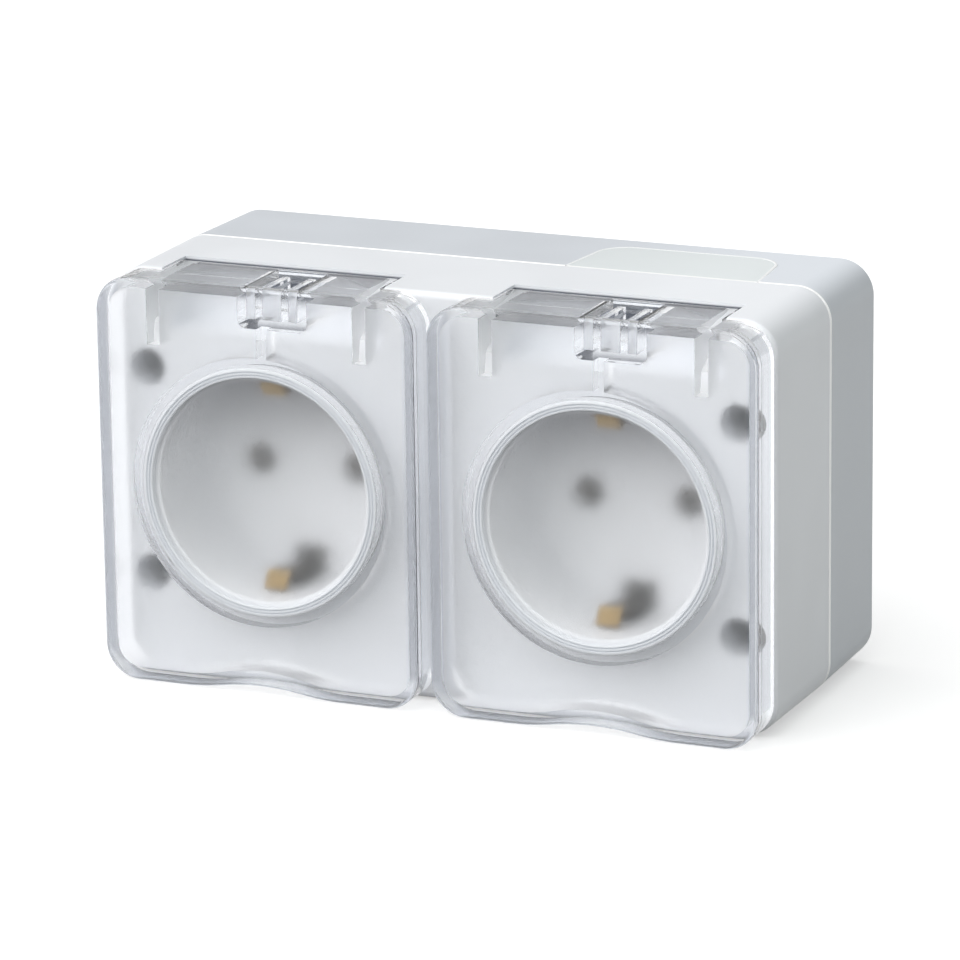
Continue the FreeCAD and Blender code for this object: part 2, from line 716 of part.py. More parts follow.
def make_lid(label, x):
    body = new_body(label, x)
    low_z = lid_top - lid_height
    half = lid_width / 2
    sketch = front_sketch(body, skirt_y)
    arch = (S.recess_half_width, S.recess_rise)
    add_rounded(sketch, -half, low_z, half, lid_top, S.lid_corner, arch)
    pad(body, sketch, S.lid_depth)
    doc.recompute()
    front = lid_front_y.value
    round_edges(body, S.lid_edge_round, lambda edge: lies_in_plane(edge, front))
    sketch = front_sketch(body, skirt_y)
    wall = S.skirt_wall
    arch = (S.recess_half_width, S.recess_rise + S.recess_inner_extra)
    add_rounded(sketch, -half + wall, low_z + wall, half - wall, lid_top - wall, S.lid_corner - wall, arch)
    pocket(body, sketch, S.lid_depth - S.plate_thickness, reverse=True)

    # Ring that closes round the collar of the cup
    sketch = front_sketch(body, face_y - S.ring_gap)
    for radius in (S.ring_inner_radius, S.ring_inner_radius + S.ring_wall):
        add_circle(sketch, 0, cup_z, radius)
    pad(body, sketch, face_y - S.ring_gap - plate_back_y)

    # Hinge tab: a top sheet that curls round the axis, and an ear with its pivot at each end
    sheet_low = lid_top - S.tab_thickness
    curl_inner = S.barrel_radius - S.tab_thickness
    sketch = new_sketch(body, "YZ_Plane")
    add_outline(sketch, [
        (plate_back_y, sheet_low),
        (axis_y, sheet_low),
        (axis_y, lid_top),
        (plate_back_y, lid_top),
    ])
    pad(body, sketch, S.tab_width, both_ways=True)
    sketch = new_sketch(body, "YZ_Plane")
    add_circle(sketch, axis_y, axis_z, S.barrel_radius)
    pad(body, sketch, S.tab_width, both_ways=True)
    sketch = new_sketch(body, "YZ_Plane")
    beyond = S.barrel_radius + S.overshoot
    add_outline(sketch, [
        (axis_y - beyond, axis_z - beyond),
        (axis_y + beyond, axis_z - beyond),
        (axis_y + beyond, axis_z),
        (axis_y + curl_inner, axis_z),
        (axis_y, sheet_low),
        (axis_y - beyond, sheet_low),
    ])
    pocket(body, sketch, S.tab_width, both_ways=True)
    foot = notch_floor_z - S.ear_foot_drop
    for side in (-1, 1):
        outer = side * S.tab_width / 2
        sketch = new_sketch(body, "YZ_Plane", outer)
        add_outline(sketch, [
            (plate_back_y - S.plate_thickness / 2, foot),
            (plate_back_y + S.ear_depth, foot),
            (plate_back_y + S.ear_depth + S.ear_slant_back, foot + S.ear_slant_up),
            (axis_y, axis_z - S.barrel_radius),
            (axis_y, lid_top),
            (plate_back_y - S.plate_thickness / 2, lid_top),
        ])
        pad(body, sketch, S.ear_thickness, reverse=side > 0)
        sketch = new_sketch(body, "YZ_Plane", outer)
        add_circle(sketch, axis_y, axis_z, S.barrel_radius)
        pad(body, sketch, S.ear_thickness, reverse=side > 0)
        sketch = new_sketch(body, "YZ_Plane", outer)
        add_circle(sketch, axis_y, axis_z, S.trunnion_radius)
        pad(body, sketch, S.notch_side_gap + S.trunnion_length, reverse=side < 0)

    # Pocket beside the middle of the tab, with two short ribs, and the stem below it
    pocket_end = axis_y - S.pocket_back
    left = S.pocket_offset - S.pocket_width / 2
    right = S.pocket_offset + S.pocket_width / 2
    sketch = front_sketch(body, pocket_end)
    add_rounded(sketch, left, pocket_low, right, lid_top - S.lid_edge_round, S.pocket_corner)
    pad(body, sketch, pocket_end - plate_back_y + S.plate_thickness / 2)
    sketch = front_sketch(body, pocket_end)
    thick = S.pocket_wall
    add_rectangle(sketch, left + thick, pocket_low + thick, right - thick, lid_top + S.overshoot)
    pocket(body, sketch, pocket_end - plate_back_y, reverse=True)
    sketch = front_sketch(body, axis_y - S.rib_back)
    for side in (-1, 1):
        x = S.pocket_offset + side * S.rib_spacing / 2
        half = S.rib_thickness / 2
        add_rectangle(sketch, x - half, pocket_low + thick / 2, x + half, lid_top - S.lid_edge_round)
    pad(body, sketch, axis_y - S.rib_back - plate_back_y + S.plate_thickness / 2)
    sketch = front_sketch(body, face_y - S.ring_gap)
    half = S.stem_width / 2
    ring_top = cup_z + S.ring_inner_radius + S.ring_wall / 2
    add_rectangle(sketch, S.stem_offset - half, ring_top, S.stem_offset + half, pocket_low + thick / 2)
    pad(body, sketch, face_y - S.ring_gap - plate_back_y + S.plate_thickness / 2)
    return body


def make_lid_seal(label, x):
    body = new_body(label, x)
    sketch = front_sketch(body, rim_y - S.seal_rim_gap)
    for radius in (S.seal_inner_radius, S.ring_inner_radius - S.seal_side_gap):
        add_circle(sketch, 0, cup_z, radius)
    pad(body, sketch, rim_y - S.seal_rim_gap - plate_back_y - S.seal_glue)
    return body


def screws(label, places, seat_y, sizes):
    """Identical screws as one group: head in front of seat_y, shank behind it."""
    head_radius, head_height, shank_radius, length = sizes
    group = []
    for number, (x, z) in enumerate(places, 1):
        name = f"{label}_{number}"
        head = doc.addObject("Part::Cylinder", name + "_head")
        bind(head, "Radius", head_radius)
        bind(head, "Height", head_height)
        shank = doc.addObject("Part::Cylinder", name + "_shank")
        bind(shank, "Radius", shank_radius)
        bind(shank, "Height", head_height + length)
        drive = doc.addObject("Part::Cylinder", name + "_drive")
        bind(drive, "Radius", S.drive_radius)
        bind(drive, "Height", S.drive_depth)
        for item in (head, shank, drive):
            # The cylinders run back from the head's front face
            turn = FreeCAD.Rotation(FreeCAD.Vector(1, 0, 0), -90)
            item.Placement = FreeCAD.Placement(FreeCAD.Vector(), turn)
            bind(item, "Placement.Base.x", x)
            bind(item, "Placement.Base.y", seat_y - head_height)
            bind(item, "Placement.Base.z", z)
        joined = doc.addObject("Part::Fuse", name + "_joined")
        joined.Base = head
        joined.Tool = shank
        screw = doc.addObject("Part::Cut", name)
        screw.Base = joined
        screw.Tool = drive
        group.append(screw)
    compound = doc.addObject("Part::Compound", label)
    compound.Label = label
    compound.Links = group
    return compound


def make_cover_screws():
    seat = face_y + S.well_depth
    length = -S.box_floor - S.screw_tip_gap - seat
    return screws("cover_screws", screw_places, seat, (S.head_radius, S.head_height, S.shank_radius, length))


def make_carrier_screws():
    sizes = (S.carrier_head_radius, S.carrier_head_height, S.carrier_screw_radius, S.carrier_screw_length)
    seat = carrier_front_y + S.carrier_head_height + S.carrier_head_sink
    return screws("carrier_screws", foot_places, seat, sizes)


terminal_places = {
    "live_terminal": cup_z + S.live_terminal_up,
    "neutral_terminal": cup_z + S.live_terminal_up - S.terminal_pitch,
    "earth_terminal": cup_z + S.live_terminal_up + S.terminal_pitch,
}
block_back_y = carrier_back_y - S.strip
earth_strip_y = carrier_front_y + S.strip
earth_bar_back_y = earth_strip_y + S.strip
earth_block_y = earth_strip_y
contact_places = {
    "left_live_contact": (half_pitch * -1 + S.pin_spacing / 2, 1),
    "left_neutral_contact": (half_pitch * -1 - S.pin_spacing / 2, -1),
    "right_live_contact": (half_pitch + S.pin_spacing / 2, 1),
    "right_neutral_contact": (half_pitch - S.pin_spacing / 2, -1),
}


def make_carrier():
    body = new_body("contact_carrier")
    sketch = front_sketch(body, carrier_back_y)
    half = S.carrier_height / 2
    wide = half_pitch + S.pin_spacing / 2 + S.chamber_size / 2 + S.chamber_wall
    add_rounded(sketch, -wide, cup_z - half, wide, cup_z + half, S.carrier_corner)
    pad(body, sketch, S.carrier_depth)

    # A chamber behind each pin hole, with a slot for the contact's tail at its back
    size = S.chamber_size / 2
    sketch = front_sketch(body, carrier_front_y)
    for x, side in contact_places.values():
        add_rectangle(sketch, x - size, cup_z - size, x + size, cup_z + size)
    pocket(body, sketch, S.carrier_depth - S.chamber_floor)
    sketch = front_sketch(body, carrier_back_y)
    low = S.bar_width / 2 + S.tail_gap
    for x, side in contact_places.values():
        centre = live_z if side > 0 else neutral_z
        inner = cup_z - side * S.leaf_width / 2
        outer = centre + side * low
        reach = S.leaf_base / 2 + S.strip + S.tail_gap
        add_rectangle(sketch, x - reach, inner, x + reach, outer)
    pocket(body, sketch, S.chamber_floor + S.strip, reverse=True)

    # Pockets for the live and neutral terminals and their bars
    reach = S.terminal_size / 2 + S.tail_gap
    sketch = front_sketch(body, carrier_front_y)
    for label in ("live_terminal", "neutral_terminal"):
        z = terminal_places[label]
        add_rectangle(sketch, -reach, z - reach, reach, z + reach)
    pocket(body, sketch, S.carrier_depth)
    sketch = front_sketch(body, carrier_front_y)
    z = terminal_places["earth_terminal"]
    add_rectangle(sketch, -reach, z - reach, reach, z + reach)
    pocket(body, sketch, S.strip)

    # Channels in the front for the earth springs and their bar
    sketch = front_sketch(body, carrier_front_y)
    for x in cup_places:
        half_spring = S.spring_width / 2 + S.tail_gap
        beyond = half + S.overshoot
        add_rectangle(sketch, x - half_spring, cup_z - beyond, x + half_spring, cup_z + beyond)
    pocket(body, sketch, S.strip)
    sketch = front_sketch(body, carrier_front_y)
    z = cup_z + S.earth_bar_up
    high = S.earth_bar_width / 2 + S.tail_gap
    end = half_pitch + S.spring_width / 2 + S.tail_gap
    add_rectangle(sketch, -end, z - high, end, z + high)
    pocket(body, sketch, 2 * S.strip)

    sketch = front_sketch(body, carrier_front_y)
    for x, z in foot_places:
        add_circle(sketch, x, z, S.carrier_screw_radius + S.carrier_screw_gap)
    pocket(body, sketch, S.carrier_depth)
    sketch = front_sketch(body, carrier_front_y)
    for x, z in foot_places:
        add_circle(sketch, x, z, S.carrier_head_radius + S.carrier_screw_gap)
    pocket(body, sketch, S.carrier_head_height + S.carrier_head_sink)
    return body


def make_contact(label, x, side):
    """A bent brass fork: two leaves that grip a pin, and a tail that reaches the bar."""
    body = new_body(label, x)
    base_y = carrier_back_y - S.strip
    front_y = carrier_front_y + S.mouth_inset
    waist_y = front_y + S.mouth_depth
    outer = S.leaf_base / 2 + S.strip
    sketch = new_sketch(body, "XY_Plane", cup_z)
    half = [
        (outer, carrier_back_y),
        (outer, base_y),
        (S.leaf_gap / 2 + S.strip, waist_y),
        (S.leaf_mouth / 2 + S.strip, front_y),
        (S.leaf_mouth / 2, front_y),
        (S.leaf_gap / 2, waist_y),
        (S.leaf_base / 2, base_y),
    ]
    add_outline(sketch, half + [(-px, py) for px, py in reversed(half)])
    pad(body, sketch, S.leaf_width, both_ways=True)
    sketch = front_sketch(body, carrier_back_y)
    centre = live_z if side > 0 else neutral_z
    end = centre + side * S.bar_width / 2
    add_rectangle(sketch, -outer, cup_z, outer, end)
    pad(body, sketch, S.strip)
    return body


def make_bar(label, low_x, high_x, z, terminal):
    """A flat bar behind the carrier that joins two contacts and a terminal."""
    body = new_body(label)
    half = S.bar_width / 2
    sketch = front_sketch(body, carrier_back_y + S.strip)
    add_rectangle(sketch, low_x, z - half, high_x, z + half)
    pad(body, sketch, S.strip)
    sketch = front_sketch(body, carrier_back_y)
    reach = S.terminal_size / 2
    block_z = terminal_places[terminal]
    add_rectangle(sketch, -reach, block_z - reach, reach, block_z + reach)
    pad(body, sketch, S.strip)
    return body


def make_live_bar():
    end = S.leaf_base / 2 + S.strip
    low = contact_places["left_live_contact"][0] - end
    high = contact_places["right_live_contact"][0] + end
    return make_bar("live_bar", low, high, live_z, "live_terminal")


def make_neutral_bar():
    end = S.leaf_base / 2 + S.strip
    low = contact_places["left_neutral_contact"][0] - end
    high = contact_places["right_neutral_contact"][0] + end
    return make_bar("neutral_bar", low, high, neutral_z, "neutral_terminal")


def make_earth_bar():
    body = new_body("earth_bar")
    sketch = front_sketch(body, earth_bar_back_y)
    end = half_pitch + S.spring_width / 2
    z = cup_z + S.earth_bar_up
    high = S.earth_bar_width / 2
    add_rectangle(sketch, -end, z - high, end, z + high)
    pad(body, sketch, S.strip)
    return body


def make_earth_spring(label, x):
    """A brass yoke behind the pin floor with a sprung arm into the cup at top and bottom."""
    body = new_body(label, x)
    nose_y = rim_y + S.nose_below_rim
    tip_y = rim_y + S.tip_below_rim
    bend_y = pin_floor_y - S.bend_in_front
    upper = [
        (carrier_front_y, S.spring_root),
        (bend_y, S.spring_root),
        (nose_y, S.spring_nose),
        (tip_y, S.spring_tip),
        (tip_y + S.tip_slant, S.spring_tip + S.strip),
        (nose_y, S.spring_nose + S.strip + S.nose_extra),
        (bend_y, S.spring_root + S.strip),
        (earth_strip_y, S.spring_root + S.strip),
    ]
    lower = [(y, -z) for y, z in reversed(upper)]
    sketch = new_sketch(body, "YZ_Plane")
    add_outline(sketch, [(y, cup_z + z) for y, z in upper + lower])
    pad(body, sketch, S.spring_width, both_ways=True)
    return body


def make_terminal(label):
    """A brass block with a hole for the wire and a threaded hole for its screw."""
    body = new_body(label)
    z = terminal_places[label]
    reach = S.terminal_size / 2
    back = earth_block_y if label == "earth_terminal" else block_back_y
    sketch = front_sketch(body, back)
    add_rectangle(sketch, -reach, z - reach, reach, z + reach)
    pad(body, sketch, S.terminal_depth)
    sketch = new_sketch(body, "YZ_Plane")
    add_circle(sketch, back - S.wire_wall - S.wire_radius, z, S.wire_radius)
    pocket(body, sketch, S.terminal_size, both_ways=True)
    sketch = front_sketch(body, back - S.terminal_depth)
    add_circle(sketch, 0, z, S.clamp_radius + S.thread_gap)
    pocket(body, sketch, S.terminal_depth - S.wire_wall - S.wire_radius)
    return body


def make_terminal_screws():
    groups = []
    sizes = (S.clamp_head_radius, S.clamp_head_height, S.clamp_radius, S.clamp_length)
    for label, z in terminal_places.items():
        back = earth_block_y if label == "earth_terminal" else block_back_y
        seat = back - S.terminal_depth - S.clamp_head_gap
        groups.append(screws(label + "_screw", [(Size.of(0), z)], seat, sizes))
    compound = doc.addObject("Part::Compound", "terminal_screws")
    compound.Label = "terminal_screws"
    compound.Links = groups
    return compound


parts = [
    make_rear_box(),
    make_entry_insert(),
    make_box_seal(),
    make_front_cover(),
    make_cup("left_socket_cup", -half_pitch),
    make_cup("right_socket_cup", half_pitch),
    make_cover_screws(),
    make_lid("left_lid", -half_pitch),
    make_lid("right_lid", half_pitch),
    make_lid_seal("left_lid_seal", -half_pitch),
    make_lid_seal("right_lid_seal", half_pitch),
    make_carrier(),
    make_carrier_screws(),
    make_live_bar(),
    make_neutral_bar(),
    make_earth_bar(),
    make_earth_spring("left_earth_spring", -half_pitch),
    make_earth_spring("right_earth_spring", half_pitch),
    make_terminal_screws(),
]
parts += [make_contact(label, *place) for label, place in contact_places.items()]
parts += [make_terminal(label) for label in terminal_places]

doc.recompute()
for item in doc.Objects:
    if "Invalid" in item.State or "Error" in item.State:
        raise ValueError(f"{item.Label} failed: {item.State}")
for part in parts:
    shape = part.Shape
    if shape.isNull() or not shape.isValid():
        raise ValueError(f"{part.Label} has no valid shape")
for part in parts:
    shape = part.Shape
    shape.exportStep(f"parts/{part.Label}.step")
    box = shape.BoundBox
    print(f"{part.Label}: {len(shape.Solids)} solids, {shape.Volume:.0f} mm3, {len(shape.Faces)} faces,"
          f" x {box.XMin:.1f} {box.XMax:.1f}, y {box.YMin:.1f} {box.YMax:.1f}, z {box.ZMin:.1f} {box.ZMax:.1f}")
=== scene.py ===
# %% [markdown]
# # A splash-proof double socket
#
# The part is a surface-mounted socket for outdoors. A pale box is screwed to the wall, a cover closes it,
# and two round cups in the cover take the plugs. Each cup has a clear lid that hangs on a hinge at the
# top. The solids come from the CAD model and stay as they are. This lesson gives them their finishes,
# adds what a close look shows, and sets up the light and the camera.

# %% The frame and the tools
import json
import math

import bmesh
import bpy
from mathutils import Matrix, Vector


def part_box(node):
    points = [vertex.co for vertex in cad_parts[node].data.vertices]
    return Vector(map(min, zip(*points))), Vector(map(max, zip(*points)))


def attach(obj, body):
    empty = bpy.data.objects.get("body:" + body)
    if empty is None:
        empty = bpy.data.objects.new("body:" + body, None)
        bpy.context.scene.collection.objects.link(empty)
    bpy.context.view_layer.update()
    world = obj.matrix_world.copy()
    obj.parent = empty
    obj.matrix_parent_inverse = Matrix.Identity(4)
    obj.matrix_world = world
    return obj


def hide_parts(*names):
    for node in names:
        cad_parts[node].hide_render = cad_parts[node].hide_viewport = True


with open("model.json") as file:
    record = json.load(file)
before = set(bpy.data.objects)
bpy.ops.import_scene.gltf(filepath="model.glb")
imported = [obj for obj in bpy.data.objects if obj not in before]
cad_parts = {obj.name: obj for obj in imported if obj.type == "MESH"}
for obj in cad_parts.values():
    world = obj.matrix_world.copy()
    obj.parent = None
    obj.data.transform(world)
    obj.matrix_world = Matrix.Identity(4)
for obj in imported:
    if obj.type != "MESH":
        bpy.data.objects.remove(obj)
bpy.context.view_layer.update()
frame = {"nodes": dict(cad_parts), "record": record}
nodes = frame["nodes"]
MM = 0.001

# %% [markdown]
# ## The camera
#
# A product photograph is taken from far away with a long lens, so that edges stay nearly parallel. The
# angles below were worked out from the straight edges and outlines in the picture. Building the camera's
# matrix from its own right, up and forward directions keeps the three angles readable, which an Euler
# triple would not.

# %% The camera
CAMERA_PLACE = Vector((382.95, -919.73, 268.81)) * MM
TURNED_LEFT = math.radians(23.321)
TILTED_DOWN = math.radians(15.599)
ROLLED = math.radians(-0.761)
FOCAL_PIXELS = 5653.4
PICTURE_SIDE = 960
SENSOR_MM = 36
FARTHEST_SEEN = 50


def camera_axes():
    """Right, up and forward of the camera in the part's frame."""
    forward = Vector((-math.sin(TURNED_LEFT) * math.cos(TILTED_DOWN),
                      math.cos(TURNED_LEFT) * math.cos(TILTED_DOWN),
                      -math.sin(TILTED_DOWN)))
    level = Vector((math.cos(TURNED_LEFT), math.sin(TURNED_LEFT), 0))
    above = level.cross(forward)
    right = level * math.cos(ROLLED) + above * math.sin(ROLLED)
    up = above * math.cos(ROLLED) - level * math.sin(ROLLED)
    return right, up, forward


right, up, forward = camera_axes()
camera_data = bpy.data.cameras.new("camera")
camera_data.sensor_width = SENSOR_MM
camera_data.lens = FOCAL_PIXELS / PICTURE_SIDE * SENSOR_MM
camera_data.clip_end = FARTHEST_SEEN
camera = bpy.data.objects.new("camera", camera_data)
turn = Matrix((right, up, -forward)).transposed().to_4x4()
camera.matrix_world = Matrix.Translation(CAMERA_PLACE) @ turn
bpy.context.scene.collection.objects.link(camera)
bpy.context.scene.camera = camera
print("camera:", round(camera_data.lens, 1), "mm lens, distance", round(CAMERA_PLACE.length, 3), "m")

# %% [markdown]
# ## Materials as expressions
#
# A procedural material is arithmetic on positions, and arithmetic reads best as arithmetic. The class
# below wraps a node's output so that + - * and ** add Math nodes behind the scenes. Every other node
# comes from one method, which sets its options first and its sockets second, because some sockets only
# exist once an option is chosen.

# %% Arithmetic on a node's output
class Link:
    """A node's output that takes part in Python arithmetic."""

    def __init__(self, finish, socket):
        self.finish, self.socket = finish, socket

    def math(self, operation, *values):
        sockets = dict(enumerate(values))
        return self.finish.node("ShaderNodeMath", {"operation": operation}, sockets)

    def __add__(self, other):
        return self.math("ADD", self, other)

    def __sub__(self, other):
        return self.math("SUBTRACT", self, other)

    def __rsub__(self, other):
        return self.math("SUBTRACT", other, self)

    def __mul__(self, other):
        return self.math("MULTIPLY", self, other)

    def __pow__(self, other):
        return self.math("POWER", self, other)

    __radd__ = __add__
    __rmul__ = __mul__

    def size(self):
        return self.math("ABSOLUTE", self)

    def at_most(self, other):
        return self.math("MINIMUM", self, other)

    def at_least(self, other):
        return self.math("MAXIMUM", self, other)

    def rise(self, low, high):
        """0 below low, 1 above high, with a soft change between them."""
        settings = {"interpolation_type": "SMOOTHSTEP"}
        sockets = {"Value": self, "From Min": low, "From Max": high}
        return self.finish.node("ShaderNodeMapRange", settings, sockets)


# %% The nodes of one finish
class Finish:
    """A material or the world, with its nodes."""

    def __init__(self, owner):
        owner.use_nodes = True
        self.owner, self.tree = owner, owner.node_tree
        self.tree.nodes.clear()

    def node(self, kind, settings=None, sockets=None, output=0):
        made = self.tree.nodes.new(kind)
        for name, value in (settings or {}).items():
            setattr(made, name, value)
        for name, value in (sockets or {}).items():
            if isinstance(value, Link):
                self.tree.links.new(value.socket, made.inputs[name])
            else:
                made.inputs[name].default_value = value
        return Link(self, made.outputs[output]) if made.outputs else made

    def place(self):
        """The point in the part's frame, in metres."""
        return self.node("ShaderNodeTexCoord", output="Object")

    def parts(self, vector):
        """The x, y and z of a vector."""
        split = self.node("ShaderNodeSeparateXYZ", None, {0: vector}).socket.node
        return [Link(self, out) for out in split.outputs]

    def noise(self, where, size, detail=2.0, roughness=0.5):
        """A cloud from 0 to 1 with lumps of about that size in metres."""
        sockets = {"Vector": where, "Scale": 1 / size, "Detail": detail, "Roughness": roughness}
        return self.node("ShaderNodeTexNoise", None, sockets)

    def mix(self, factor, first, second):
        """A colour between two others."""
        return self.node("ShaderNodeMix", {"data_type": "RGBA"}, {0: factor, 6: first, 7: second}, output=2)

    def bump(self, height, depth):
        """A relief of that depth in metres."""
        return self.node("ShaderNodeBump", None, {"Height": height, "Distance": depth})

    def principled(self, **sockets):
        named = {name.replace("_", " "): value for name, value in sockets.items()}
        return self.node("ShaderNodeBsdfPrincipled", None, named)

    def surface(self, shader):
        self.node("ShaderNodeOutputMaterial" if isinstance(self.owner, bpy.types.Material)
                  else "ShaderNodeOutputWorld", None, {"Surface": shader})
        return self.owner


# %% Colours
def screen_colour(red, green, blue):
    """A linear colour from the 0 to 255 values seen on a screen."""
    channels = (v / 255 for v in (red, green, blue))
    return (*(v / 12.92 if v <= 0.04045 else ((v + 0.055) / 1.055) ** 2.4 for v in channels), 1.0)


def grey(value):
    """A linear grey."""
    return (value, value, value, 1)


print("half bright on a screen is", round(screen_colour(128, 128, 128)[0], 3), "of full light")

# %% [markdown]
# ## Light and floor
#
# The picture is a packshot: light comes from everywhere, a little more from the upper left, and the right
# side of the box is a calm grey. A few small lamps would leave hard reflections in the lids, so the room
# itself is the lamp here. The world is brighter towards one direction and darker away from it. The floor
# is white for the camera and grey for the light that bounces off it, so the cups keep their shade.

# %% The room
KEY_DIRECTION = Vector((-0.28, -0.60, 0.75)).normalized()
ROOM_LEVEL = 0.42
KEY_LEVEL = 2.1
KEY_WIDTH = 3.0
SHADE_TINT = (0.86, 0.93, 0.90, 1)
WHITE = grey(1)


def make_room():
    world = bpy.data.worlds.new("room")
    bpy.context.scene.world = world
    finish = Finish(world)
    direction = finish.node("ShaderNodeTexCoord", output="Generated")
    x, y, z = finish.parts(direction)
    towards_key = x * KEY_DIRECTION.x + y * KEY_DIRECTION.y + z * KEY_DIRECTION.z
    level = towards_key.at_least(0.0) ** KEY_WIDTH * KEY_LEVEL + ROOM_LEVEL
    tint = finish.mix(x.rise(0.0, 1.0), WHITE, SHADE_TINT)
    finish.surface(finish.node("ShaderNodeBackground", None, {"Color": tint, "Strength": level}))
    print("room:", world.name, "level", ROOM_LEVEL, "towards the key", ROOM_LEVEL + KEY_LEVEL)


make_room()

# %% An edited mesh becomes an object
def object_from(shape, name, finish):
    """Turns an edited mesh into an object of the scene with one material."""
    mesh = bpy.data.meshes.new(name)
    shape.to_mesh(mesh)
    shape.free()
    mesh.materials.clear()
    mesh.materials.append(finish)
    made = bpy.data.objects.new(name, mesh)
    bpy.context.scene.collection.objects.link(made)
    return made


# %% The floor
FLOOR_SIDE = 30.0
FLOOR_BOUNCE = 0.30
FLOOR_PALE = 0.70
FLOOR_GLOW = 0.45
FLOOR_GAP = 0.2 * MM


def floor_finish():
    finish = Finish(bpy.data.materials.new("floor"))
    rays = finish.node("ShaderNodeLightPath").socket.node
    names = ("Is Camera Ray", "Is Glossy Ray", "Is Transmission Ray")
    camera_ray, glossy_ray, transmitted_ray = (Link(finish, rays.outputs[name]) for name in names)
    seen = (camera_ray + glossy_ray + transmitted_ray).at_most(1.0)
    bounce = finish.node("ShaderNodeBsdfDiffuse", None, {"Color": grey(FLOOR_BOUNCE)})
    pale = finish.node("ShaderNodeBsdfDiffuse", None, {"Color": grey(FLOOR_PALE)})
    glow = finish.node("ShaderNodeEmission", None, {"Strength": FLOOR_GLOW})
    white = finish.node("ShaderNodeAddShader", None, {0: pale, 1: glow})
    return finish.surface(finish.node("ShaderNodeMixShader", None, {0: seen, 1: bounce, 2: white}))


def make_floor():
    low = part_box("rear_box")[0].z
    shape = bmesh.new()
    bmesh.ops.create_grid(shape, x_segments=1, y_segments=1, size=FLOOR_SIDE / 2,
                          matrix=Matrix.Translation((0, 0, low - FLOOR_GAP)))
    object_from(shape, "floor", floor_finish())
    print("floor at z", round(low, 4))


make_floor()

# %% [markdown]
# ## The moulded plastics
#
# Cover and box are two mouldings of the same family of plastic. Both have a fine spark-eroded grain,
# which shows as a satin surface, and a very slight cloudiness of colour. One function makes them all,
# with the colour as the difference. The grain is a small noise in the roughness, because a pattern this
# fine would need millions of faces, and as a bump it would only cost time at this distance. A white band
# on both sides of the seam is a painted highlight, for the light that its small broken edges catch. On the
# body's two sides that band also glows faintly, which is painted light in place of the light that a studio
# gives it. The top is painted a little lighter towards the right, where more light falls on it.

# %% Satin plastic
GRAIN = 0.35 * MM
CLOUD = 22 * MM
CLOUD_DARKER = 0.965
CLOUD_CONTRAST = (0.35, 0.65)
CLOUD_IN_SHINE = 0.10
GRAIN_IN_SHINE = 0.12
FAR_END_X = 50 * MM
TOP_FROM_Z = 34 * MM
TOP_TO_Z = 36.8 * MM
PAINTED_SHADE_COLOUR = screen_colour(96, 100, 110)
BLACK = grey(0)
SEAM_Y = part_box("rear_box")[0].y
SEAM_CUT = 0.5 * MM
SEAM_EDGE = 0.015 * MM
PAINTED_SEAM_GLOW = grey(0.10)
BODY_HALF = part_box("front_cover")[1].x
SIDE_FROM_X = BODY_HALF - 3 * MM
SIDE_TO_X = BODY_HALF - 1 * MM
PLASTIC_IOR = 1.49


def satin_plastic(name, colour, roughness, shade=None, far_end=None):
    """Grained plastic. shade is a function that gives a mask of places painted in shade. far_end is how
    much lighter the top is painted at its right end, which is painted light, and it also turns on the
    painted highlight at the seam.
    """
    finish = Finish(bpy.data.materials.new(name))
    where = finish.place()
    cloud = finish.noise(where, CLOUD, detail=1.0)
    grain = finish.noise(where, GRAIN, detail=1.0, roughness=0.6)
    darker = tuple(c * CLOUD_DARKER for c in colour[:3]) + (1.0,)
    tint = finish.mix(cloud.rise(*CLOUD_CONTRAST), darker, colour)
    x, y, z = finish.parts(where)
    if far_end:
        # painted light: the top is painted lighter towards its right end
        lighter = tuple(min(c * far_end, 1) for c in colour[:3]) + (1.0,)
        tint = finish.mix(x.rise(0.0, FAR_END_X) * z.rise(TOP_FROM_Z, TOP_TO_Z), tint, lighter)
    if shade:
        # painted shade: the places of the mask are mixed towards a dim colour
        tint = finish.mix(shade(finish), tint, PAINTED_SHADE_COLOUR)
    shine = roughness + (cloud - 0.5) * CLOUD_IN_SHINE + (grain - 0.5) * GRAIN_IN_SHINE
    sockets = {}
    if far_end:
        # painted highlight: a white band on both sides of the seam, which also glows faintly on the body's
        # two sides
        cut = 1 - (y - SEAM_Y).size().rise(SEAM_CUT - SEAM_EDGE, SEAM_CUT + SEAM_EDGE)
        tint = finish.mix(cut, tint, WHITE)
        on_a_side = x.size().rise(SIDE_FROM_X, SIDE_TO_X)
        sockets["Emission_Color"] = finish.mix(cut * on_a_side, BLACK, PAINTED_SEAM_GLOW)
        sockets["Emission_Strength"] = 1.0
    shader = finish.principled(Base_Color=tint, Roughness=shine, IOR=PLASTIC_IOR, **sockets)
    return finish.surface(shader)


# %% Painted shade where little light reaches
HALF_PITCH = 31.75 * MM
RECESS_HALF = 22.3 * MM
RECESS_FRONT_Y = -42 * MM
RECESS_BACK_Y = -38.4 * MM
RECESS_TOP_Z = 36.3 * MM
RECESS_DIM_Z = 30.5 * MM
RECESS_EDGE = 0.3 * MM
FRONT_FADE = 2 * MM
TOP_FADE = 0.4 * MM
DIM_FADE = 2.5 * MM
CUP_DIM = 0.60
CUP_TOP_Z = 20 * MM


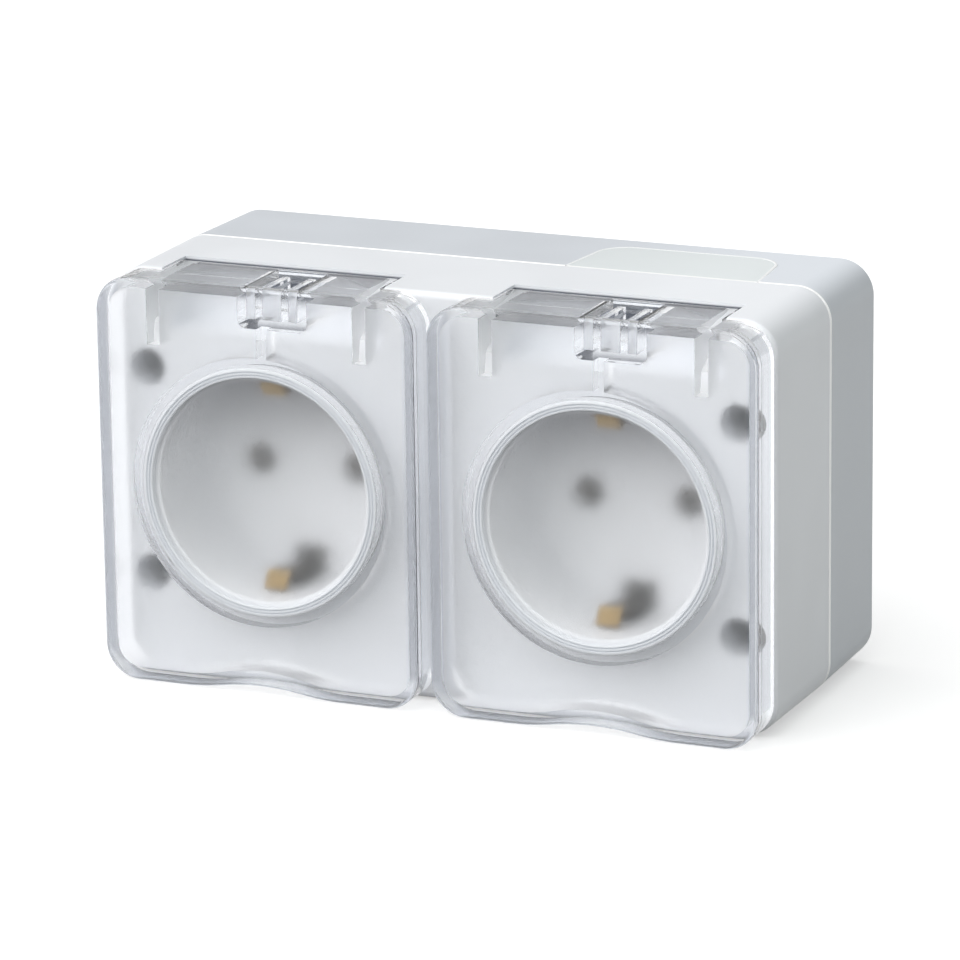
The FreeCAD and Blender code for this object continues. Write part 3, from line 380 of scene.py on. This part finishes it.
def behind_the_tab(finish):
    """Painted shade on the upper back wall of the two recesses, which little light reaches."""
    x, y, z = finish.parts(finish.place())
    across = (x.size() - HALF_PITCH).size()
    between_sides = 1 - across.rise(RECESS_HALF, RECESS_HALF + RECESS_EDGE)
    before_back = 1 - y.rise(RECESS_BACK_Y, RECESS_BACK_Y + RECESS_EDGE)
    in_depth = y.rise(RECESS_FRONT_Y, RECESS_FRONT_Y + FRONT_FADE) * before_back
    under_top = 1 - z.rise(RECESS_TOP_Z, RECESS_TOP_Z + TOP_FADE)
    return between_sides * in_depth * under_top * z.rise(RECESS_DIM_Z, RECESS_DIM_Z + DIM_FADE)


def top_of_a_cup(finish):
    """Painted shade: a little darker towards the top of a cup, where less light reaches."""
    height = finish.parts(finish.place())[2]
    return height.rise(0.0, CUP_TOP_Z) * CUP_DIM


# %% The plastics of this part
COVER_COLOUR = screen_colour(240, 242, 246)
BOX_COLOUR = screen_colour(214, 218, 224)
cover_plastic = satin_plastic("cover_plastic", COVER_COLOUR, 0.36, shade=behind_the_tab, far_end=1.05)
box_plastic = satin_plastic("box_plastic", BOX_COLOUR, 0.42, far_end=1.17)
insert_plastic = satin_plastic("insert_plastic", screen_colour(226, 231, 232), 0.38, far_end=1.06)
# the cups wear a lighter copy of the cover's plastic, which is painted light for their deep insides, and they
# are painted darker towards their tops: painted shade
cup_plastic = satin_plastic("cup_plastic", screen_colour(250, 251, 253), 0.36, shade=top_of_a_cup)
# the lip wears a whiter copy of the insert's plastic: a painted highlight along it
lip_plastic = satin_plastic("lip_plastic", screen_colour(252, 253, 254), 0.3)
carrier_plastic = satin_plastic("carrier_plastic", screen_colour(150, 152, 156), 0.5)
print("plastics:", cover_plastic.name, box_plastic.name, insert_plastic.name, carrier_plastic.name)

# %% [markdown]
# ## The clear lids
#
# The lids are clear plastic with a lightly frosted inner face, so that the rims and the hinge sparkle
# while whatever is behind the front plate looks soft. Real refraction through the CAD solid gives the
# doubled lines round the rims for free. Masks on the position find the frosted places: the inner face of
# the plate, the underside of the tab and the ears, which are a little milky too. A clear solid would
# throw dark shadows, as bent light is hard to trace back to a lamp, so shadow rays and diffuse rays pass
# as through a thin pane.

# %% Places on a lid
PLATE_INNER = -55.45 * MM
BEHIND_PLATE = -55.2 * MM
CUP_AXIS_Z = -0.4 * MM
RING_INNER = 22.75 * MM
TAB_HALF = 21.1 * MM
TAB_SHEET_LOW = 35.15 * MM
EAR_THICKNESS = 2.5 * MM
EAR_LOW_Z = 20 * MM
SKIRT_INSIDE = 28.5 * MM
SKIRT_INSIDE_Z = 35.0 * MM
MASK_EDGE = 0.2 * MM
FACE_REACH = 0.15 * MM


def past(value, place):
    """0 up to a place, and 1 a fifth of a millimetre past it."""
    return value.rise(place, place + MASK_EDGE)


def lid_places(finish):
    """Masks on a lid: inner face, outside the ring, sheet of the tab, the ears, the skirt."""
    x, y, z = finish.parts(finish.place())
    inner_face = 1 - past((y - PLATE_INNER).size(), FACE_REACH)
    across = x.size() - HALF_PITCH
    upwards = z - CUP_AXIS_Z
    from_axis = (across * across + upwards * upwards) ** 0.5
    outside_ring = from_axis.rise(RING_INNER - MM, RING_INNER + MM)
    behind = past(y, BEHIND_PLATE)
    under_sheet = 1 - past(z, TAB_SHEET_LOW - 2 * MASK_EDGE)
    sheet = (1 - (z - TAB_SHEET_LOW).size().rise(FACE_REACH, 2 * FACE_REACH)) * behind
    beside = across.size()
    in_ear = past(beside, TAB_HALF - EAR_THICKNESS - 2 * MASK_EDGE)
    in_ear = in_ear * (1 - past(beside, TAB_HALF + MASK_EDGE / 2))
    ears = in_ear * behind * under_sheet * z.rise(EAR_LOW_Z, EAR_LOW_Z + MM)
    skirt = beside.rise(SKIRT_INSIDE - MASK_EDGE, SKIRT_INSIDE + MASK_EDGE)
    skirt = skirt.at_least((-1 * z).rise(SKIRT_INSIDE_Z - MASK_EDGE, SKIRT_INSIDE_Z + MASK_EDGE))
    return inner_face, outside_ring, sheet, ears, skirt


# %% Clear plastic
LET_THROUGH = 0.975
PLATE_FROST = 0.30
FACE_FROST_MORE = 0.06
EAR_FROST = 0.35
SHEET_FROST = 0.45
POLISH = 0.04
EAR_MILK = 0.6
MILK_ROUGHNESS = 0.3
SKIRT_SHADE = 0.6
CLEAR_IOR = 1.45
CLEAR_TINT = (0.985, 0.99, 1.0, 1)
SKIRT_PAINTED_SHADE = (0.88, 0.895, 0.93, 1)
SHEET_PAINTED_SHADE = (0.75, 0.77, 0.82, 1)
MILK_COLOUR = (0.93, 0.94, 0.96, 1)


def clear_plastic(name):
    finish = Finish(bpy.data.materials.new(name))
    inner_face, outside_ring, sheet, ears, skirt = lid_places(finish)
    frost = inner_face * (PLATE_FROST + outside_ring * FACE_FROST_MORE)
    frost = frost.at_least(ears * EAR_FROST).at_least(sheet * SHEET_FROST)
    # painted shade: the skirt and the sheet of the tab are tinted darker, for the dark gap and recess behind
    # them
    tint = finish.mix(skirt, CLEAR_TINT, SKIRT_PAINTED_SHADE)
    tint = finish.mix(sheet, tint, SHEET_PAINTED_SHADE)
    glass = finish.principled(Base_Color=tint, Roughness=POLISH + frost, IOR=CLEAR_IOR,
                              Transmission_Weight=1.0)
    milk = finish.principled(Base_Color=MILK_COLOUR, Roughness=MILK_ROUGHNESS)
    thick = finish.node("ShaderNodeMixShader", None, {0: ears * EAR_MILK, 1: glass, 2: milk})
    rays = finish.node("ShaderNodeLightPath").socket.node
    lighting = Link(finish, rays.outputs["Is Shadow Ray"])
    lighting = lighting.at_least(Link(finish, rays.outputs["Is Diffuse Ray"]))
    pane = finish.node("ShaderNodeBsdfTransparent", None, {"Color": grey(LET_THROUGH)})
    passed = lighting * (1 - skirt * SKIRT_SHADE)
    return finish.surface(finish.node("ShaderNodeMixShader", None, {0: passed, 1: thick, 2: pane}))


clear_lid = clear_plastic("clear_lid")
print("clear plastic:", clear_lid.name)

# %% [markdown]
# ## Seals and metal
#
# The seals are soft rubber without a shine, the contacts and bars are brass strip, and the screws are
# steel. Strip is rolled, so its roughness and its relief follow fine lines, which come from a noise
# stretched along one axis. The earth springs keep the bright brass colour at the nose and are painted
# dark behind it: painted shade, where the root of the spring lies in the shade of the window in the cup wall.

# %% Seals and metal
SPRING_NOSE_Y = -47.95 * MM
SPRING_SHADE_FADE = 1.5 * MM
SPRING_PAINTED_SHADE = screen_colour(70, 66, 58)
ACROSS_THE_LINES = 8
ROLLING_LINES = 1.2 * MM
ROLLING_RELIEF = 0.01 * MM
RUBBER_GRAIN = 0.5 * MM
RUBBER_RELIEF = 0.02 * MM
UNEVEN_SHINE = 0.2


def soft_rubber(name, colour, roughness=0.6):
    finish = Finish(bpy.data.materials.new(name))
    where = finish.place()
    grain = finish.noise(where, RUBBER_GRAIN, detail=3.0)
    shader = finish.principled(Base_Color=colour, Roughness=roughness + (grain - 0.5) * UNEVEN_SHINE,
                               Normal=finish.bump(grain, RUBBER_RELIEF))
    return finish.surface(shader)


def rolled_metal(name, colour, roughness, painted_shade_from=None):
    """Metal with fine rolling lines. Behind a given depth, if one is given, it is painted dark: painted
    shade.
    """
    finish = Finish(bpy.data.materials.new(name))
    where = finish.place()
    x, y, z = finish.parts(where)
    squeezed = {0: x * ACROSS_THE_LINES, 1: y, 2: z * ACROSS_THE_LINES}
    lines = finish.noise(finish.node("ShaderNodeCombineXYZ", None, squeezed), ROLLING_LINES, detail=4.0)
    shine = roughness + (lines - 0.5) * UNEVEN_SHINE
    if painted_shade_from is not None:
        # painted shade: dark behind the given depth
        colour = finish.mix(y.rise(painted_shade_from, painted_shade_from + SPRING_SHADE_FADE), colour, SPRING_PAINTED_SHADE)
    shader = finish.principled(Base_Color=colour, Metallic=1.0, Roughness=shine,
                               Normal=finish.bump(lines, ROLLING_RELIEF))
    return finish.surface(shader)


lid_seal_rubber = soft_rubber("lid_seal_rubber", screen_colour(238, 241, 245), 0.5)
box_seal_rubber = soft_rubber("box_seal_rubber", screen_colour(60, 62, 66), 0.7)
brass = rolled_metal("brass", screen_colour(196, 176, 128), 0.45)
spring_brass = rolled_metal("spring_brass", screen_colour(168, 143, 98), 0.5, painted_shade_from=SPRING_NOSE_Y)
steel = rolled_metal("steel", screen_colour(178, 180, 184), 0.34)
# the cover screws wear a darker copy of the steel: painted shade for the deep wells they sit in
steel_painted_darker = rolled_metal("steel_painted_darker", screen_colour(92, 96, 100), 0.42)
print("seals:", lid_seal_rubber.name, box_seal_rubber.name)
print("metals:", brass.name, spring_brass.name, steel.name, steel_painted_darker.name)

# %% [markdown]
# ## Who wears what
#
# Each CAD node gets one finish. A table from node to finish is easier to check than a chain of
# conditions, and whatever it doesn't name is one of the brass pieces inside.

# %% The finishes go on the CAD nodes
NODE_FINISHES = {
    "rear_box": box_plastic, "front_cover": cover_plastic,
    "left_socket_cup": cup_plastic, "right_socket_cup": cup_plastic, "cable_entry_insert": insert_plastic,
    "box_seal": box_seal_rubber, "left_lid": clear_lid, "right_lid": clear_lid,
    "left_lid_seal": lid_seal_rubber, "right_lid_seal": lid_seal_rubber,
    "left_earth_spring": spring_brass, "right_earth_spring": spring_brass,
    "contact_carrier": carrier_plastic, "cover_screws": steel_painted_darker,
    "carrier_screws": steel, "terminal_screws": steel,
}
for name, node in nodes.items():
    finish = NODE_FINISHES.get(name, brass)
    node.data.materials.clear()
    node.data.materials.append(finish)
print("finishes on", len(nodes), "nodes")

# %% [markdown]
# ## Round edges that look round
#
# A CAD node comes as loose flat triangles. On clear plastic every small facet bends the light its own
# way, and the rims look chipped. A copy of the node has its doubled points merged and is shaded smooth up
# to a sharp angle. A Weighted Normal modifier then lets the large flat faces keep their own direction, so
# that only the rounds blend. The copy rides on the same body and stands for the node. The insert's copy
# is also trimmed: its front edge is broken as the rest of the seam is, and its top is a hair lower than
# the lip that follows.

# %% Smooth copies
MERGED_WITHIN = 0.002 * MM
SHARP_ANGLE = math.radians(46)
LIP_STANDS_UP = 0.05 * MM
NEAR = 0.01 * MM
SAME_PLACE = 1e-7
BODY_OF = {node: body for body, held in frame["record"]["behaviour"]["bodies"].items() for node in held}


def trim_the_insert(shape):
    """Breaks the front edge as the box's seam is broken, and lets the lip stand a little above the top."""
    top = max(vert.co.z for vert in shape.verts)
    bmesh.ops.bisect_plane(shape, geom=shape.verts[:] + shape.edges[:] + shape.faces[:],
                           plane_co=(0, SEAM_Y + SEAM_CUT, 0), plane_no=(0, 1, 0), dist=SAME_PLACE)
    for vert in shape.verts:
        if vert.co.z > top - NEAR:
            vert.co.z -= SEAM_CUT if vert.co.y < SEAM_Y + NEAR else LIP_STANDS_UP


def count_open(shape):
    """Edges that don't have a face on both sides."""
    return sum(not edge.is_manifold for edge in shape.edges)


def smooth_copy(name, finish):
    """A merged and smooth-shaded copy of a node, which stands for it."""
    shape = bmesh.new()
    shape.from_mesh(nodes[name].data)
    bmesh.ops.remove_doubles(shape, verts=shape.verts, dist=MERGED_WITHIN)
    if name == "cable_entry_insert":
        trim_the_insert(shape)
    for face in shape.faces:
        face.smooth = True
    for edge in shape.edges:
        edge.smooth = edge.is_manifold and edge.calc_face_angle() < SHARP_ANGLE
    open_edges = count_open(shape)
    piece = object_from(shape, name + "_smooth", finish)
    piece.modifiers.new("flat_faces_first", "WEIGHTED_NORMAL").keep_sharp = True
    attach(piece, BODY_OF[name])
    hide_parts(name)
    print(piece.name, len(piece.data.polygons), "triangles,", open_edges, "open edges")


ROUNDED_NODES = ("left_lid", "right_lid", "front_cover", "rear_box", "left_socket_cup", "right_socket_cup",
                 "cable_entry_insert", "cover_screws")
for name in ROUNDED_NODES:
    smooth_copy(name, NODE_FINISHES[name])

# %% [markdown]
# ## The lip of the cable entry
#
# The insert over the cable entry ends in a fine raised lip, which catches the light as a thin line, and
# its whiter plastic adds a painted highlight along it. The lip follows the outline of the insert: a flat
# face with its two back corners bevelled is inset, the middle is taken out and the front is cut off at the
# seam's broken edge. The band that is left gets a thickness, and its upper edges are broken. A swept bar
# would need its corners mended by hand.

# %% The lip
ENTRY_MIDDLE = 31.35 * MM
ENTRY_FRONT_HALF = 18.4 * MM
ENTRY_BACK_HALF = 16.5 * MM
ENTRY_BACK_Y = -5.5 * MM
ENTRY_CORNER = 5.2 * MM
LIP_WIDTH = 0.6 * MM
LIP_HEIGHT = 0.5 * MM
LIP_BREAK = 0.14 * MM
CORNER_STEPS = 10
BREAK_STEPS = 2
CREASE_ANGLE = math.radians(60)


def make_entry_lip():
    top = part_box("cable_entry_insert")[1].z
    front = SEAM_Y + SEAM_CUT
    corners = ((-ENTRY_FRONT_HALF, front - LIP_WIDTH), (ENTRY_FRONT_HALF, front - LIP_WIDTH),
               (ENTRY_BACK_HALF, ENTRY_BACK_Y), (-ENTRY_BACK_HALF, ENTRY_BACK_Y))
    shape = bmesh.new()
    points = [shape.verts.new((ENTRY_MIDDLE + across, depth, top)) for across, depth in corners]
    shape.faces.new(points)
    bmesh.ops.bevel(shape, geom=points[2:], offset=ENTRY_CORNER, segments=CORNER_STEPS, profile=0.5,
                    affect="VERTICES", material=-1)
    bmesh.ops.inset_individual(shape, faces=shape.faces[:], thickness=LIP_WIDTH, use_even_offset=True)
    bmesh.ops.bisect_plane(shape, geom=shape.verts[:] + shape.edges[:] + shape.faces[:], dist=SAME_PLACE,
                           plane_co=(0, front, 0), plane_no=(0, -1, 0), clear_outer=True)
    # the band's own faces have four corners each
    middle = [face for face in shape.faces if len(face.verts) > 4]
    bmesh.ops.delete(shape, geom=middle, context="FACES")
    band = bmesh.ops.extrude_face_region(shape, geom=shape.faces[:], use_keep_orig=True)
    lowered = [part for part in band["geom"] if isinstance(part, bmesh.types.BMVert)]
    bmesh.ops.translate(shape, verts=lowered, vec=(0, 0, -LIP_HEIGHT))
    bmesh.ops.recalc_face_normals(shape, faces=shape.faces)
    creases = [edge for edge in shape.edges if edge.calc_face_angle(0.0) > CREASE_ANGLE]
    upper = [edge for edge in creases if all(vert.co.z > top - LIP_BREAK for vert in edge.verts)]
    bmesh.ops.bevel(shape, geom=upper, offset=LIP_BREAK, segments=BREAK_STEPS, profile=0.5,
                    affect="EDGES", material=-1)
    for face in shape.faces:
        face.smooth = True
    open_edges = count_open(shape)
    lip = object_from(shape, "entry_lip", lip_plastic)
    lip.modifiers.new("flat_faces_first", "WEIGHTED_NORMAL").keep_sharp = True
    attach(lip, "housing")
    print(lip.name, len(lip.data.polygons), "faces,", open_edges, "open edges, top", round(top / MM, 2), "mm")


make_entry_lip()

# %% [markdown]
# ## The ring seals
#
# A soft ring lies inside the clear ring of each lid and meets the rim of the cup. Such a seal has thin
# lips with grooves between them, which show through the lid as fine circles. It could be a stack of tori,
# but it is one turned piece: the cross-section is drawn once as a closed loop of points and spun round
# the cup's axis, so the grooves are true geometry.

# %% Grooved seals
SEAL_TURNS = 128
GROOVE_DEPTH = 0.45 * MM
GROOVE_HALF = 0.17 * MM
SEAL_BEVEL = 0.12 * MM
GROOVES_AT = (0.30, 0.62)
SEAL_INNER = 20.9 * MM


def seal_profile(inner, outer, front, back):
    """Corners of the cross-section as radius and depth, with the grooves cut into the front."""
    width = outer - inner
    points = [(inner, back), (inner, front + SEAL_BEVEL), (inner + SEAL_BEVEL, front)]
    for share in GROOVES_AT:
        middle = inner + share * width
        points += [(middle - GROOVE_HALF, front), (middle - GROOVE_HALF / 2, front + GROOVE_DEPTH),
                   (middle + GROOVE_HALF / 2, front + GROOVE_DEPTH), (middle + GROOVE_HALF, front)]
    return points + [(outer - SEAL_BEVEL, front), (outer, front + SEAL_BEVEL), (outer, back)]


def make_seal(name, side):
    low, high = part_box(name)
    outer = (high.x - low.x) / 2
    centre = Vector(((low.x + high.x) / 2, 0, (low.z + high.z) / 2))
    profile = seal_profile(SEAL_INNER, outer, low.y, high.y)
    shape = bmesh.new()
    corners = [shape.verts.new((centre.x + radius, depth, centre.z)) for radius, depth in profile]
    edges = [shape.edges.new((a, b)) for a, b in zip(corners, corners[1:] + corners[:1])]
    bmesh.ops.spin(shape, geom=corners + edges, cent=centre, axis=(0, 1, 0), angle=2 * math.pi,
                   steps=SEAL_TURNS, use_merge=True)
    bmesh.ops.recalc_face_normals(shape, faces=shape.faces)
    for face in shape.faces:
        face.smooth = True
    for edge in shape.edges:
        edge.smooth = edge.is_manifold and edge.calc_face_angle() < SHARP_ANGLE
    open_edges = count_open(shape)
    seal = object_from(shape, side + "_grooved_seal", lid_seal_rubber)
    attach(seal, BODY_OF[name])
    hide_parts(name)
    print(seal.name, len(seal.data.polygons), "faces,", open_edges, "open edges")


for side in ("left", "right"):
    make_seal(side + "_lid_seal", side)

# %% The view transform
bpy.context.scene.view_settings.view_transform = "Standard"
